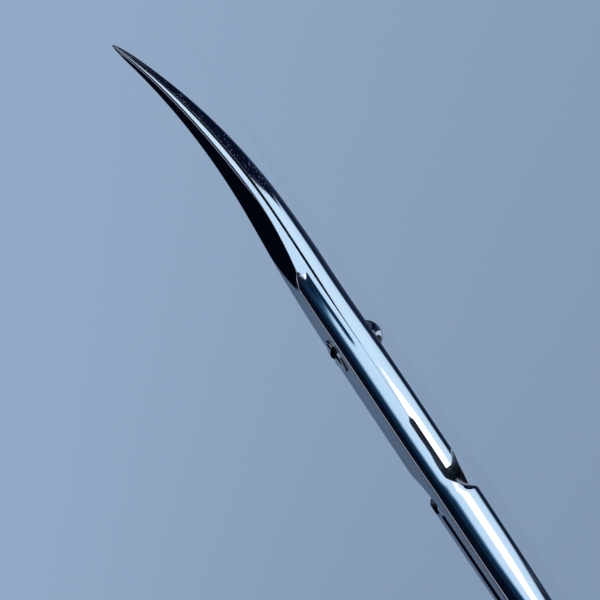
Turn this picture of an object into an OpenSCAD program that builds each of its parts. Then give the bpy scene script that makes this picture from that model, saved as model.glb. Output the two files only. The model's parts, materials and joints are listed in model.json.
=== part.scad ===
// Cuticle scissors: two forged steel halves that ride on each other and turn on one screw.
// The scissors lie flat. The tips point along +X and bow up towards +Z, the finger rings are at -X.

/* [Blades] */
// Distance from the pivot to the tip
blade_reach = 31.9; // [26:0.1:38]
// Radius of the upward bow of the blades
bow_radius = 53; // [45:1:90]
// Distance from the pivot at which the bow starts
bow_start = 14; // [10:0.5:18]
// How far the riding surface dips between the hinge and the bow
ride_dip = 0.19; // [0:0.01:0.35]
// Thickness of a blade just behind its tip
tip_thick = 0.25; // [0.2:0.05:0.5]
// Half width of the closed blades at the tip
tip_half_width = 0.14; // [0.1:0.02:0.3]
// Length over which the tip is rounded off
tip_round = 1.8; // [0.8:0.1:3]
// Curve of the blade's plan: 1 is a straight taper, more is a fuller blade
plan_fullness = 1.35; // [1:0.05:1.8]
// Distance from the pivot at which the blades start to get thinner
taper_start = 8; // [5:0.5:10]
// Curve of the blade's thickness: 1 is a straight taper, more is a fuller blade
thick_fullness = 1.15; // [1:0.05:1.5]

/* [Ground facet] */
// Height of the narrow cutting bevel below the facet, at the hinge
bevel_height = 0.4; // [0.25:0.05:0.6]
// Height of the cutting bevel at the tip
bevel_tip_height = 0.22; // [0.15:0.01:0.25]
// Radius of the grinding wheel that runs the facet out
wheel_radius = 20; // [12:1:40]
// Distance from the pivot at which the wheel starts to leave the bevel
wheel_start = 13.4; // [11:0.1:16]
// Distance from the pivot at which the facet ends on the cutting side
facet_end = 6.2; // [5:0.1:7]
// Length over which the facet crosses the outer face
facet_run = 3.4; // [2:0.1:5]
// Curve of the facet's outer boundary as it crosses: 1 is straight, less is fuller
facet_fullness = 0.8; // [0.5:0.05:1]

/* [Hinge plate] */
// Half width of the hinge plate
plate_half_width = 3.95; // [3.4:0.05:5]
// Thickness of the lower half at the pivot
lower_thick = 1.55; // [1.3:0.05:2]
// Thickness of the upper half at the pivot
upper_thick = 1.76; // [1.55:0.05:2.2]
// Radius of the flat riding face round the screw
ride_flat = 3; // [2.5:0.1:4]
// Gap between the halves at the hinge and at the tips
ride_clearance = 0.05; // [0.04:0.01:0.1]
// Gap between the hollow blades midway
blade_gap = 0.16; // [0.1:0.01:0.2]
// Length over which the hollow closes towards the tips
hollow_close = 11; // [6:0.5:14]
// Distance behind the pivot at which the riding face ends
ride_end = 8.2; // [6:0.1:9]
// Depth to which each half is relieved behind its riding face
back_relief = 0.16; // [0.05:0.01:0.25]
// Length of the step down into the relief
relief_length = 0.8; // [0.5:0.1:2]
// Height of the rounding along the outer edges
edge_height = 0.9; // [0.5:0.05:1.1]
// Width of the rounding along the outer edges
edge_width = 0.6; // [0.3:0.05:0.9]
// Rounding of the edges of the riding faces
ride_edge = 0.06; // [0.04:0.01:0.15]

/* [Crotch and shoulder] */
// Distance behind the pivot of the plate's rear corner, where it turns into the shank
crotch_start = 12.3; // [11.5:0.1:13]
// Length over which the plate turns into the shank
crotch_length = 1.9; // [1.6:0.1:2.4]
// Half length of the rounding of the rear corner
crotch_corner = 0.22; // [0.1:0.02:0.4]
// How much earlier the cutting side starts to turn into the shank
crotch_lead = 3.7; // [1:0.1:4]
// How far behind the rear corner the shank starts to step up to full thickness
shoulder_delay = 0.65; // [0.5:0.05:1.5]
// Length of the step
shoulder_length = 2.5; // [2:0.1:4]
// How much later the step starts on the side that faces the other shank
shoulder_lag = 1.2; // [1:0.1:2]

/* [Shanks] */
// Gap between the closed shanks
shank_gap = 0.6; // [0.4:0.05:1.2]
// Width of a shank behind the shoulder
shank_width = 4.2; // [3.6:0.1:4.6]
// Width of a shank where it meets its ring
shank_end_width = 3.1; // [2.8:0.1:3.4]
// Share of the shank over which it narrows to that width
shank_taper_share = 0.67; // [0.4:0.01:1]
// How far the shanks bow outwards
shank_bow = 1.8; // [0:0.1:3]
// Distance behind the pivot at which the shanks start to get round
round_start = 20; // [16:0.5:30]
// Rounding of the outer face's edge that faces the other shank
inner_edge = 0.15; // [0.05:0.05:0.6]
// How much each face of a shank is let down from the hinge plate's faces
shank_let_down = 0.15; // [0:0.01:0.3]
// How much further each face is let down inside the ring's bar
shank_end_let_down = 0.25; // [0.15:0.01:0.4]
// How far short of the ring's middle the shank runs out in the bar
shank_short = 2.5; // [1:0.1:4]

/* [Finger rings] */
// Distance from the pivot to the middle of a ring
ring_reach = 62.5; // [54:0.5:75]
// Length of the ring's opening along the scissors
ring_length = 24.4; // [22:0.2:28]
// Width of the ring's opening
ring_width = 20; // [18:0.2:22]
// Radius of the round ends of the ring's opening
ring_end_radius = 8.5; // [7.5:0.1:9]
// Diameter of the ring's bar
ring_bar = 3.4; // [3.2:0.1:4.2]
// Gap between the closed rings
ring_gap = 0.6; // [0.4:0.05:1.5]
// How far the shank swells out to meet the front of its ring
web_swell = 2.3; // [1.5:0.1:2.6]
// Length of the swell
web_length = 12; // [10:0.5:14]
// Distance from the middle of the swell to the ring's middle
web_reach = 11; // [10:0.1:12]

/* [Pivot screw] */
// Diameter of the screw's shaft
screw_d = 2.2; // [1.8:0.1:2.6]
// Running clearance round the shaft in the upper half
screw_clearance = 0.03; // [0.02:0.01:0.08]
// Diameter of the slotted head
head_d = 3.15; // [2.9:0.05:4]
// Depth to which the head is let into the upper half
head_sink = 0.45; // [0.3:0.05:0.7]
// Height of the head's rim above the upper half
head_rim = 0.13; // [0.05:0.01:0.3]
// Height of the head's crown above its rim
head_crown = 0.25; // [0.1:0.05:0.4]
// Clearance round and below the head
head_clearance = 0.05; // [0.03:0.01:0.1]
// Width of the driver slot
slot_width = 0.75; // [0.4:0.05:0.9]
// Depth of the driver slot below the head's rim
slot_depth = 0.25; // [0.15:0.05:0.4]
// Direction of the driver slot from the X axis
slot_turn = 112; // [0:1:180]
// Diameter of the domed end on the lower half
dome_d = 2.7; // [2.5:0.1:3.6]
// Height of the domed end
dome_height = 1; // [0.5:0.05:1.2]

/* [Hidden] */
$fn = 64;

// Which half a function works out: the lower one is the upper one turned over about X.
UPPER = 1;
LOWER = -1;

bar_r = ring_bar / 2;
ring_bar_length = ring_length / 2 + bar_r;
ring_bar_width = ring_width / 2 + bar_r;
ring_bar_end = ring_end_radius + bar_r;
ring_side = ring_gap / 2 + ring_bar / 2 + ring_bar_width;
shank_start = crotch_start + crotch_length;
shoulder_start = crotch_start + shoulder_delay;
shoulder_end = shoulder_start + shoulder_lag + shoulder_length;
shank_end = ring_reach - shank_short;
web_start = ring_reach - web_reach - web_length / 2;
facet_full = facet_end + facet_run;

// The blades touch over this length at their tips.
tip_hold = 1;
hollow_end = blade_reach - tip_hold;

// Steps of the faceted forms.
corner_steps = 3;
arc_steps = 12;
bar_steps = 16;

// Shares of a section that its corners may take, so that no face of it closes up, and the sliver kept
// between two corners that would meet.
low_share = 0.3;
side_share = 0.45;
bevel_share = 0.75;
squeeze = 0.98;
sliver = 0.02;

// Least sizes: of a corner's rounding, and of the tip's thickness as a share of tip_thick.
least_round = 0.02;
least_tip = 0.2;

// The model is drawn round the pivot and then set down, so that the origin is below its middle.
x_front = blade_reach;
x_back = -ring_reach - ring_bar_length - bar_r;
z_bottom = -lower_thick - dome_height;
origin_shift = [-(x_front + x_back) / 2, 0, -z_bottom];

// 0 before a, 1 after b, and a smooth step between them.
function step_up(x, a, b) = let (u = min(1, max(0, (x - a) / (b - a)))) u * u * (3 - 2 * u);
function mix(a, b, u) = a + (b - a) * u;
function thick_at_pivot(half) = half == UPPER ? upper_thick : lower_thick;

// The riding surface turns with the blades, so it depends only on the distance from the pivot.
function bow(r) = r > bow_start ? bow_radius - sqrt(pow(bow_radius, 2) - pow(r - bow_start, 2)) : 0;
function ride(r) = bow(r) - ride_dip * step_up(r, ride_flat, bow_start);
function half_gap(r) =
    let (opens = step_up(r, ride_flat, taper_start),
         closes = step_up(r, hollow_end - hollow_close, hollow_end))
    mix(ride_clearance, blade_gap, opens * (1 - closes)) / 2;

// Height of a half's riding surface over the common plane, measured towards its own outer face.
function ride_height(half, x, y) =
    let (r = norm([x, y]))
    x > 0 ? half * ride(r) + half_gap(r)
          : ride_clearance / 2 + back_relief * step_up(r, ride_end, ride_end + relief_length);

// Height of the inner side: the riding surface, and behind the shoulder the far face of the other half.
function inner_height(half, x, y, lag) =
    let (behind = -x - shoulder_start - lag)
    mix(ride_height(half, x, y), -thick_at_pivot(-half), step_up(behind, 0, shoulder_length));

// Thickness along the blade, rounded off at the tip.
function blade_thick(half, x) =
    let (u = max(0, (x - taper_start) / (blade_reach - taper_start)),
         v = max(0, (x - blade_reach + tip_round) / tip_round))
    mix(tip_thick, thick_at_pivot(half), 1 - pow(u, thick_fullness))
        * max(least_tip, sqrt(max(0, 1 - v * v)));

// Height of the outer face.
function outer_height(half, x) =
    x > 0 ? half * ride(x) + blade_thick(half, x) : thick_at_pivot(half);

// Half width of the closed blades.
function blade_half_width(x) =
    mix(tip_half_width, plate_half_width, 1 - pow(max(0, x) / blade_reach, plan_fullness));

// Middle and half width of a shank. The shank lies on the -Y side of the upper half. It runs straight
// from the hinge and bows out further back.
function shank_share(x) = (-x - shank_start) / (ring_reach - shank_start);
function shank_middle(x) =
    let (u = shank_share(x))
    mix(-(shank_gap + shank_width) / 2, -(ring_gap + ring_bar) / 2, u)
        - shank_bow * pow(sin(180 * u * u), 2);
function shank_half_width(x) =
    mix(shank_width, shank_end_width, min(1, shank_share(x) / shank_taper_share)) / 2;
function web(x) =
    let (u = (-x - web_start) / web_length)
    u > 0 && u < 1 ? web_swell * pow(sin(180 * u), 2) : 0;

// Side of the cutting edge and of the shank.
function cutting_side(x) =
    let (turn = step_up(-x, crotch_start - crotch_lead, shank_start))
    x > -shank_start ? -mix(blade_half_width(x), shank_gap / 2 + shank_width, turn)
                     : shank_middle(x) - shank_half_width(x) - web(x);

// How far the back side has turned in towards the shank: steeply from the rear corner, then ever more
// slowly. The corner itself is rounded over the length crotch_corner to both sides.
function crotch(x) =
    let (from_corner = -x - crotch_start,
         eased = from_corner < -crotch_corner ? 0
               : from_corner < crotch_corner ? pow(from_corner + crotch_corner, 2) / (4 * crotch_corner)
               : from_corner)
    1 - pow(1 - min(1, eased / crotch_length), 2);

// Side of the blade's back, which turns in behind the hinge and becomes the inner side of the shank.
function back_side(x) =
    x > -shank_start ? mix(blade_half_width(x), -shank_gap / 2, crotch(x))
                     : shank_middle(x) + shank_half_width(x);

// A shank gets rounder towards its ring: the share of its half thickness that is rounding.
function roundness(x) = step_up(-x, round_start, web_start);
function shank_thin(x) = shank_let_down * step_up(-x, shank_start, web_start)
    + shank_end_let_down * step_up(-x, web_start + web_length / 2, shank_end);

// The facet's corner on the outer face moves from the back to the cutting side as the wheel runs out.
function facet_share(x) = pow(min(1, max(0, (x - facet_end) / facet_run)), facet_fullness);

// Quarter round from p to q, on the corner's side when full is 1 and straight when full is 0.
function corner(p, q, full, corner_at_p_y) =
    [for (i = [0 : corner_steps])
        let (t = i / corner_steps, a = 90 * t,
             round_y = corner_at_p_y ? mix(p[0], q[0], 1 - cos(a)) : mix(p[0], q[0], sin(a)),
             round_z = corner_at_p_y ? mix(p[1], q[1], sin(a)) : mix(p[1], q[1], 1 - cos(a)))
        [mix(mix(p[0], q[0], t), round_y, full), mix(mix(p[1], q[1], t), round_z, full)]];

// One cross-section of a half, as points [y, z] of the upper half, anticlockwise seen from the tip.
function section(half, x) =
    let (y0 = cutting_side(x), y1 = back_side(x),
         z_low0 = inner_height(half, x, y0, 0), z_low1 = inner_height(half, x, y1, shoulder_lag),
         z_top = outer_height(half, x) - shank_thin(x),
         z_low_a = z_low0 + shank_thin(x), z_low_b = z_low1 + shank_thin(x),
         thick = z_top - z_low_a, width = y1 - y0,
         slim = blade_thick(half, x) / thick_at_pivot(half),
         shoulder = step_up(-x, shoulder_start, shoulder_start + shoulder_length),
         round_h = min(max(edge_height * slim, least_round), thick * side_share),
         round_w = min(max(edge_width * slim, least_round), width * low_share),
         top_h = mix(round_h, thick / 2, roundness(x)),
         top_w = mix(round_w, width / 2, roundness(x)),
         inner_h = mix(mix(round_h, inner_edge, shoulder), thick / 2, roundness(x)),
         inner_w = mix(mix(round_w, inner_edge, shoulder), width / 2, roundness(x)),
         sharp_h = min(ride_edge, thick * low_share),
         sharp_w = min(ride_edge, width * low_share),
         low_h = mix(mix(sharp_h, round_h, shoulder), thick / 2, roundness(x)),
         low_w = mix(mix(sharp_w, round_w, shoulder), width / 2, roundness(x)),
         share = facet_share(x),
         run_out = pow(max(0, wheel_start - x), 2) / (2 * wheel_radius),
         bevel = min(mix(bevel_tip_height, bevel_height, slim) + run_out, thick * bevel_share),
         facet_low = x > facet_end ? max(z_top - mix(top_h, thick, share), z_low_a + bevel)
                                   : z_top - top_h * squeeze,
         facet_y = mix(y0 + top_w * squeeze, y1 - inner_w * squeeze - sliver, share))
    concat(
        corner([y0, z_low_a + low_h * squeeze], [y0 + low_w * squeeze, z_low_a], 1, true),
        corner([y1 - low_w * squeeze, z_low_b], [y1, z_low_b + low_h * squeeze], 1, false),
        corner([y1, z_top - inner_h * squeeze], [y1 - inner_w * squeeze, z_top], 1, true),
        corner([facet_y - sliver, z_top], [y0, facet_low], 1 - share, false));

// Places of the cross-sections, close together where the form changes quickly.
function between(a, b, count) = [for (i = [0 : count - 1]) mix(a, b, i / count)];
stations = concat(
    between(blade_reach, blade_reach - tip_round, 5),
    between(blade_reach - tip_round, facet_full, 14),
    between(facet_full, facet_end, 8),
    between(facet_end, -ride_end, 4),
    between(-ride_end, -ride_end - relief_length, 2),
    between(-ride_end - relief_length, -crotch_start + crotch_corner, 4),
    between(-crotch_start + crotch_corner, -crotch_start - crotch_corner, 4),
    between(-crotch_start - crotch_corner, -shoulder_end, 17),
    between(-shoulder_end, -web_start, 10),
    between(-web_start, -shank_end, 9),
    [-shank_end]);

// A solid through closed loops of points: side faces in pairs of triangles, with a fan over each end
// unless the last loop runs on into the first one.
module skin(loops, endless = false) {
    n = len(loops[0]);
    count = len(loops);
    last = (count - 1) * n;
    sides = [for (i = [0 : endless ? count - 1 : count - 2], j = [0 : n - 1])
        let (here = i * n, next = (i + 1) % count * n, k = (j + 1) % n)
        each [[here + j, here + k, next + j], [here + k, next + k, next + j]]];
    ends = [for (j = [1 : n - 2]) each [[0, j + 1, j], [last, last + j, last + j + 1]]];
    polyhedron(points = [for (l = loops) each l],
        faces = endless ? sides : concat(sides, ends), convexity = 6);
}

module blade_and_shank(half) {
    skin([for (x = stations) [for (p = section(half, x)) [x, half * p[0], half * p[1]]]]);
}

// The oval ring: a round bar swept along two end arcs and two flatter side arcs that meet them squarely.
module finger_ring() {
    end_centre = ring_bar_length - ring_bar_end;
    rise = ring_bar_width - ring_bar_end;
    side_drop = (pow(end_centre, 2) - pow(rise, 2)) / (2 * rise);
    side_radius = ring_bar_width + side_drop;
    spread = atan2(side_drop, end_centre);
    end_arc = [for (a = between(-spread, spread, arc_steps)) [a, ring_bar_end, end_centre, 0]];
    side_arc = [for (a = between(spread, 180 - spread, arc_steps)) [a, side_radius, 0, -side_drop]];
    skin([for (way = [1, -1], place = concat(end_arc, side_arc))
        [for (i = [0 : bar_steps - 1])
            let (tilt = 360 * i / bar_steps, reach = place[1] + bar_r * cos(tilt))
            [way * (place[2] + reach * cos(place[0])),
             way * (place[3] + reach * sin(place[0])), bar_r * sin(tilt)]]], true);
}

module half_blank(half) {
    blade_and_shank(half);
    translate([-ring_reach, -half * ring_side, (upper_thick - lower_thick) / 2]) finger_ring();
}

module lower_half() {
    color("silver") translate(origin_shift) difference() {
        half_blank(LOWER);
        translate([0, 0, -2 * lower_thick]) cylinder(d = screw_d, h = 3 * lower_thick);
    }
}

module upper_half() {
    color("lightsteelblue") translate(origin_shift) difference() {
        half_blank(UPPER);
        translate([0, 0, -upper_thick]) cylinder(d = screw_d + 2 * screw_clearance, h = 3 * upper_thick);
        translate([0, 0, upper_thick - head_sink])
            cylinder(d = head_d + 2 * head_clearance, h = upper_thick);
    }
}

// A cap of a ball: base diameter d, height h, standing on z = 0.
module ball_cap(d, h) {
    ball_r = (pow(d / 2, 2) + h * h) / (2 * h);
    intersection() {
        translate([0, 0, h - ball_r]) sphere(ball_r);
        cylinder(d = d, h = 2 * h);
    }
}

module pivot_screw() {
    head_low = upper_thick - head_sink + head_clearance;
    rim = upper_thick + head_rim;
    color("gainsboro") translate(origin_shift) difference() {
        union() {
            translate([0, 0, -lower_thick]) cylinder(d = screw_d, h = lower_thick + rim);
            translate([0, 0, head_low]) cylinder(d = head_d, h = rim - head_low);
            translate([0, 0, rim]) ball_cap(head_d, head_crown);
            translate([0, 0, -lower_thick]) mirror([0, 0, 1]) ball_cap(dome_d, dome_height);
        }
        rotate([0, 0, slot_turn]) translate([-head_d, -slot_width / 2, rim - slot_depth])
            cube([2 * head_d, slot_width, 2 * head_d]);
    }
}

lower_half();
upper_half();
pivot_screw();
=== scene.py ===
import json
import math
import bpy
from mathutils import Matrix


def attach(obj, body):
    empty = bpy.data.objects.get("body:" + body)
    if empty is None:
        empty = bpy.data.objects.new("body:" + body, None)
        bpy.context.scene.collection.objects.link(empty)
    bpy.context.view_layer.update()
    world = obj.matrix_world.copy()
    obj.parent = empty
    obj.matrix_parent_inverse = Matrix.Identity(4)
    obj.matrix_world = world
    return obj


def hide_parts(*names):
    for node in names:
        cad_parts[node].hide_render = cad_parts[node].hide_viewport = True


bl_info = {
    "name": "Cuticle scissors",
    "version": (1, 0, 0),
    "blender": (4, 5, 0),
    "location": "View3D > Sidebar > Scissors",
    "description": "Dresses cuticle scissors in polished steel and sets up a plain studio",
    "category": "Object",
}

import bmesh
import bpy
from mathutils import Matrix, Vector

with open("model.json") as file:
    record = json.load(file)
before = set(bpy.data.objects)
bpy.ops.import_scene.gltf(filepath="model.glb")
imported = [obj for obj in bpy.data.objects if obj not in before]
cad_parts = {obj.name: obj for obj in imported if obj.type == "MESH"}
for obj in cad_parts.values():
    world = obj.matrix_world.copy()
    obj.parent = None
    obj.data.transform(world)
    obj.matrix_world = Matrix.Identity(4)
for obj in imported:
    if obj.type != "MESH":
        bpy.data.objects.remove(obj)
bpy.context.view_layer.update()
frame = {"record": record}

UPPER, LOWER = 1, -1
MM = 0.001
PIVOT = Vector(frame["record"]["behaviour"]["joints"][0]["pos_m"])


# ---- plain helpers


def step_up(x, a, b):
    """0 before a, 1 after b, and a smooth step between them."""
    u = min(1.0, max(0.0, (x - a) / (b - a)))
    return u * u * (3 - 2 * u)


def mix(a, b, u):
    return a + (b - a) * u


def between(a, b, count):
    return [mix(a, b, i / count) for i in range(count)]


def linear(code, alpha=1.0):
    """A linear colour from an sRGB hex code."""
    parts = [int(code[i : i + 2], 16) / 255 for i in (1, 3, 5)]
    return [c / 12.92 if c <= 0.04045 else ((c + 0.055) / 1.055) ** 2.4 for c in parts] + [alpha]


# ---- the halves' form, in millimetres round the pivot, as the upper half lies

SLIVER = 0.02  # a gap that keeps neighbouring points of a section apart
CREST = 0.2  # from the side's top to the facet's crest, where the facet starts to cross
FLANK_STEPS = 22
FLANK_SAMPLES = 160
RIDE_POINTS = [0.0, 0.01, 0.25, 0.4, 0.5, 0.6, 0.68, 0.75, 0.79, 0.83, 0.87, 0.91, 0.95, 0.99]
OUTER_POINTS = [0.0, 0.03, 0.5, 0.97]
FACET_POINTS = [0.03, 0.3, 0.6, 0.97, 1.0]
EDGE_POINTS = [i / 8 for i in range(1, 9)]

# A side's crown: the sine of its tilt at its foot, how fast that grows with height, where it starts to swell,
# by how much it swells, and where it turns over to the outer face.
CORNER = (0.0, 1.0, 0.5, 0.0, 0.9)
ROUND = (0.0, 1.0, 0.5, 0.0, 0.9)
BACK = (0.05, 0.37, 0.4, 0.42, 0.92)
FORE = (0.05, 0.6, 0.2, 0.4, 0.92)
FRONT = (-0.03, 0.3, 0.4, 0.4, 0.92)
SHANK_LOW = (0.01, 0.5, 0.4, 0.2, 0.92)
SHANK_UP = (-0.01, 0.45, 0.4, 0.2, 0.9)
INNER_LOW = (0.01, 0.3, 0.5, 0.1, 0.76)
INNER_UP = (-0.01, 0.1, 0.5, 0.05, 0.93)


class Form:
    """The cross-sections of one half, from the sizes in the sidebar."""

    def __init__(self, half, sizes):
        self.half = half
        self.s = sizes
        self.thick0 = sizes["upper_thick"] if half == UPPER else sizes["lower_thick"]
        self.other_thick = sizes["lower_thick"] if half == UPPER else sizes["upper_thick"]
        self.shank_start = sizes["crotch_start"] + sizes["crotch_length"]
        self.shoulder_start = sizes["crotch_start"] + sizes["shoulder_delay"]
        self.relief_depth, self.relief_deeper = sizes["upper_relief"], sizes["relief_deeper"]
        if half == LOWER:
            self.shoulder_start -= sizes["lower_earlier"]
            self.relief_depth, self.relief_deeper = sizes["lower_relief"], 0.0
        self.web_start = sizes["ring_reach"] - sizes["web_reach"] - sizes["web_length"] / 2
        self.shank_end = sizes["ring_reach"] - sizes["shank_short"]

    def ride(self, r):
        """The riding surface turns with the blades, so it depends only on the distance from the pivot."""
        s = self.s
        bow = 0.0
        if r > s["bow_start"]:
            bow = s["bow_radius"] - math.sqrt(s["bow_radius"] ** 2 - (r - s["bow_start"]) ** 2)
        return bow - s["ride_dip"] * step_up(r, s["ride_flat"], s["bow_start"])

    def half_gap(self, r):
        s = self.s
        hollow_end = s["blade_reach"] - 1
        opens = step_up(r, s["ride_flat"], s["taper_start"])
        closes = step_up(r, hollow_end - s["hollow_close"], hollow_end)
        return mix(s["ride_clearance"], s["blade_gap"], opens * (1 - closes)) / 2

    def relief(self, x, y):
        """Behind the hinge the riding face is ground lower, and deeper still by the shoulder."""
        s, r = self.s, math.hypot(x, y)
        deeper = self.relief_deeper * step_up(r, s["crotch_start"] - 1, s["crotch_start"] + 0.6)
        return self.relief_depth * step_up(r, s["ride_end"], s["ride_end"] + s["relief_length"]) + deeper

    def inner_height(self, x, y, lag, relief):
        s = self.s
        r = math.hypot(x, y)
        ride = self.half * self.ride(r) + self.half_gap(r) if x > 0 else s["ride_clearance"] / 2 + relief
        behind = (-x - self.shoulder_start - lag) / s["shoulder_length"]
        # The shoulder rises gently at first and then steeply to its crest.
        return mix(ride, -self.other_thick, (step_up(behind, 0, 0.66) + step_up(behind, 0.55, 0.98)) / 2)

    def blade_thick(self, x):
        s = self.s
        u = max(0.0, (x - s["taper_start"]) / (s["blade_reach"] - s["taper_start"]))
        v = max(0.0, (x - s["blade_reach"] + s["tip_round"]) / s["tip_round"])
        body = mix(s["tip_thick"], self.thick0, 1 - u ** s["thick_fullness"])
        return body * max(0.2, math.sqrt(max(0.0, 1 - v * v)))

    def outer_height(self, x):
        return self.half * self.ride(x) + self.blade_thick(x) if x > 0 else self.thick0

    def blade_half_width(self, x):
        s = self.s
        share = (max(0.0, x) / s["blade_reach"]) ** s["plan_fullness"]
        return mix(s["tip_half_width"], s["plate_half_width"], 1 - share)

    def shank_share(self, x):
        return (-x - self.shank_start) / (self.s["ring_reach"] - self.shank_start)

    def shank_middle(self, x):
        s, u = self.s, self.shank_share(x)
        middle = mix(-(s["shank_gap"] + s["shank_width"]) / 2, -(s["ring_gap"] + s["ring_bar"]) / 2, u)
        return middle - s["shank_bow"] * math.sin(math.pi * u * u) ** 2

    def shank_half_width(self, x):
        s = self.s
        return mix(s["shank_width"], s["shank_end_width"], min(1.0, self.shank_share(x) * 1.5)) / 2

    def web(self, x):
        s = self.s
        u = (-x - self.web_start) / s["web_length"]
        return s["web_swell"] * math.sin(math.pi * u) ** 2 if 0 < u < 1 else 0.0

    def cutting_side(self, x):
        s = self.s
        if x > -self.shank_start:
            turn = step_up(-x, s["crotch_start"] - s["crotch_lead"], self.shank_start)
            return -mix(self.blade_half_width(x), s["shank_gap"] / 2 + s["shank_width"], turn)
        return self.shank_middle(x) - self.shank_half_width(x) - self.web(x)

    def back_side(self, x, rim=0.0):
        """The plate turns in at once at half its height (rim 0), earlier and more slowly at its outer rim (rim 1)."""
        s = self.s
        start, end = mix(s["plate_end"], s["nose_start"], rim), mix(self.shank_start, s["nose_end"], rim)
        turn = self.crotch(x, start, end, mix(2, 1.1, rim))
        shank = -s["shank_gap"] / 2
        if x < -self.shank_start:
            shank = self.shank_middle(x) + self.shank_half_width(x)
        return mix(self.blade_half_width(x), shank, turn)

    def crotch(self, x, start, end, ease):
        """How far the back side has turned in towards the shank, with a rounded corner at its start."""
        r = self.s["crotch_corner"]
        u = (-x - start) / (end - start)
        u = 0.0 if u < -r else (u + r) ** 2 / (4 * r) if u < r else u
        return 1 - (1 - min(1.0, u)) ** ease

    def shank_thin(self, x):
        s = self.s
        level = s["shank_let_down"] * step_up(-x, self.shank_start, self.web_start)
        return level + s["shank_end_let_down"] * step_up(-x, self.web_start + s["web_length"] / 2, self.shank_end)

    def eased(self, x):
        """Height and width filed off the inner edge of the lower half's shank, both larger where the shank starts."""
        s = self.s
        behind = -x - self.shoulder_start - s["ease_lag"]
        at_start = 1 - step_up(behind, s["ease_run"], s["ease_run"] + s["ease_fade"])
        height = mix(s["inner_ease"], s["start_ease"], at_start) * step_up(behind, 0, 1)
        return height if self.half == LOWER else 0.0, mix(s["ease_width"], s["start_ease_width"], at_start)

    def section(self, x):
        """One closed loop of points (y, z), anticlockwise seen from the tip."""
        s = self.s
        y0, y1 = self.cutting_side(x), self.back_side(x)
        thin = self.shank_thin(x)
        relief0, relief1 = (self.relief(x, y) if x < 0 else 0.0 for y in (y0, y1))
        low0 = self.inner_height(x, y0, 0, relief0) + thin
        low1 = self.inner_height(x, y1, s["shoulder_lag"], relief1) + thin
        top = self.outer_height(x) - thin
        width = y1 - y0
        eased, ease_width = self.eased(x)
        low1 += eased
        slim = self.blade_thick(x) / self.thick0
        shoulder = step_up(-x, self.shoulder_start, self.shoulder_start + s["shoulder_length"])
        round_off = step_up(-x, s["round_start"], self.web_start)
        edge_size = s["ride_edge"] * mix(1, 0.3, step_up(-x, -6, 2))

        def side(low, ground_off, crown, shank_crown, shank_corner, waves=None):
            """The two profiles of a side, from its foot down to the riding face and up to the outer face."""
            thick = top - low + ground_off
            sharp = min(edge_size, thick * 0.3, width * 0.2)
            low_h = mix(sharp, thick / 2, shoulder)
            up_h = thick - low_h
            full_w = width / 2
            upper = flank(up_h, blend(blend(crown, shank_crown, shoulder), ROUND, round_off), waves)
            corner = blend(CORNER, blend(shank_corner, ROUND, round_off), shoulder)
            corner[0] = -upper_foot(crown, shank_crown, shoulder, round_off)
            lower = flank(low_h, corner)
            low_w = mix(mix(sharp, lower[-1][0], shoulder), full_w, round_off)
            up_w = mix(min(upper[-1][0], width * 0.45), full_w * 0.98, round_off)
            lower = [(w * low_w / lower[-1][0], h) for w, h in lower]
            upper = [(w * up_w / upper[-1][0], h) for w, h in upper]
            # The relief is ground off from below, so the side above it stays as it was.
            upper = cut_off(upper, up_h, ground_off)
            lower = [(w + upper[0][0], h) for w, h in lower]
            return low + low_h, lower, upper

        def upper_foot(crown, shank_crown, along, rounder):
            return mix(mix(crown[0], shank_crown[0], along), ROUND[0], rounder)

        back_crown = blend(BACK, FORE, step_up(x, -6, 8))
        foot1, lower1, upper1 = side(low1, relief1 * (1 - shoulder), back_crown, INNER_UP, INNER_LOW)
        foot0, lower0, upper0 = side(low0, relief0 * (1 - shoulder), FRONT, SHANK_UP, SHANK_LOW, self.waves(x))

        # The back side upwards, and the riding face before it.
        back = [(y1 - w, foot1 - h) for w, h in reversed(lower1)] + [(y1 - w, foot1 + h) for w, h in upper1[1:]]
        if -s["nose_end"] < x < 0:
            back = [(y - y1 + self.back_side(x, self.nose((z - low1) / (top - low1))), z) for y, z in back]
        in0, in1 = y0 + lower0[-1][0], back[0][0]
        face = [(mix(in0, in1, u), mix(low0, low1 - eased, u)) for u in RIDE_POINTS]
        face = [(y, z + eased * max(0.0, 1 - (in1 - y) / ease_width) ** 2) for y, z in face]
        back_rim = back[-1][0] - SLIVER

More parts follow.
